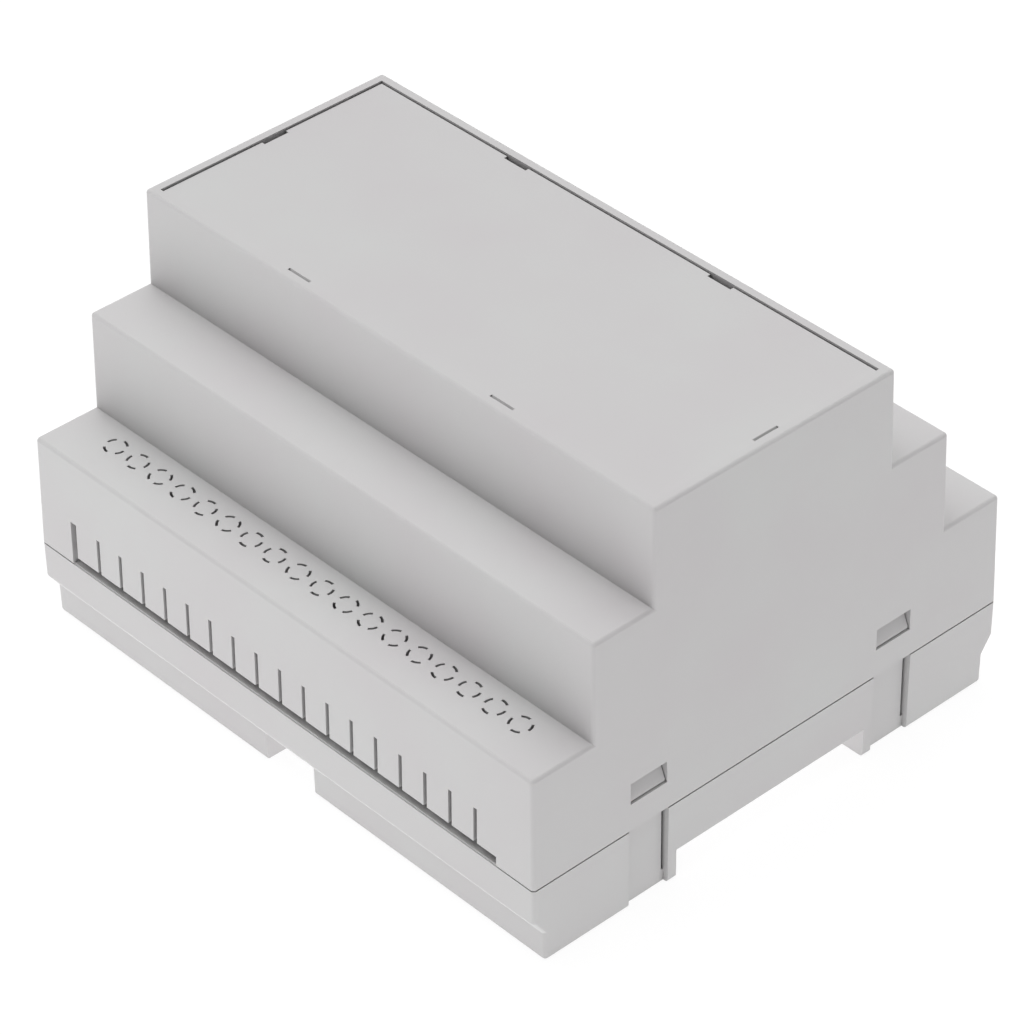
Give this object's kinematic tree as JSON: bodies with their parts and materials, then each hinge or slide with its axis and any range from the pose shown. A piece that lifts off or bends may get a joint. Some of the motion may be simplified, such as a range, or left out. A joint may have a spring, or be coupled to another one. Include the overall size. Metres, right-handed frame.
{
  "type": "din rail enclosure",
  "caption": "Stepped plastic housing for a 35 mm top-hat rail, with a clip-on cover, a front panel, terminal break-outs and a sliding rail latch.",
  "frame": {"origin": "middle of the footprint, at the height of the undersides of the feet", "axes": "+X along the rail, +Y towards the side with the rail latch, +Z from the rail to the front panel"},
  "size_m": [0.105, 0.09, 0.065],
  "materials": {
    "shell": "fine matte texture from the mould, light grey",
    "panel": "fine matte texture from the mould, light grey",
    "latch": "fine matte texture from the mould, light grey"
  },
  "bodies": {
    "housing": {"base": "shell", "cover": "shell", "front_panel": "panel"},
    "latch": {"rail_latch": "latch"}
  },
  "joints": [
    {"name": "latch_slide", "type": "slide", "parent": "housing", "child": "latch", "axis": [0, 1, 0], "range_m": [0, 0.003], "stiffness_N_per_m": 400, "springref_m": -0.0015}
  ]
}
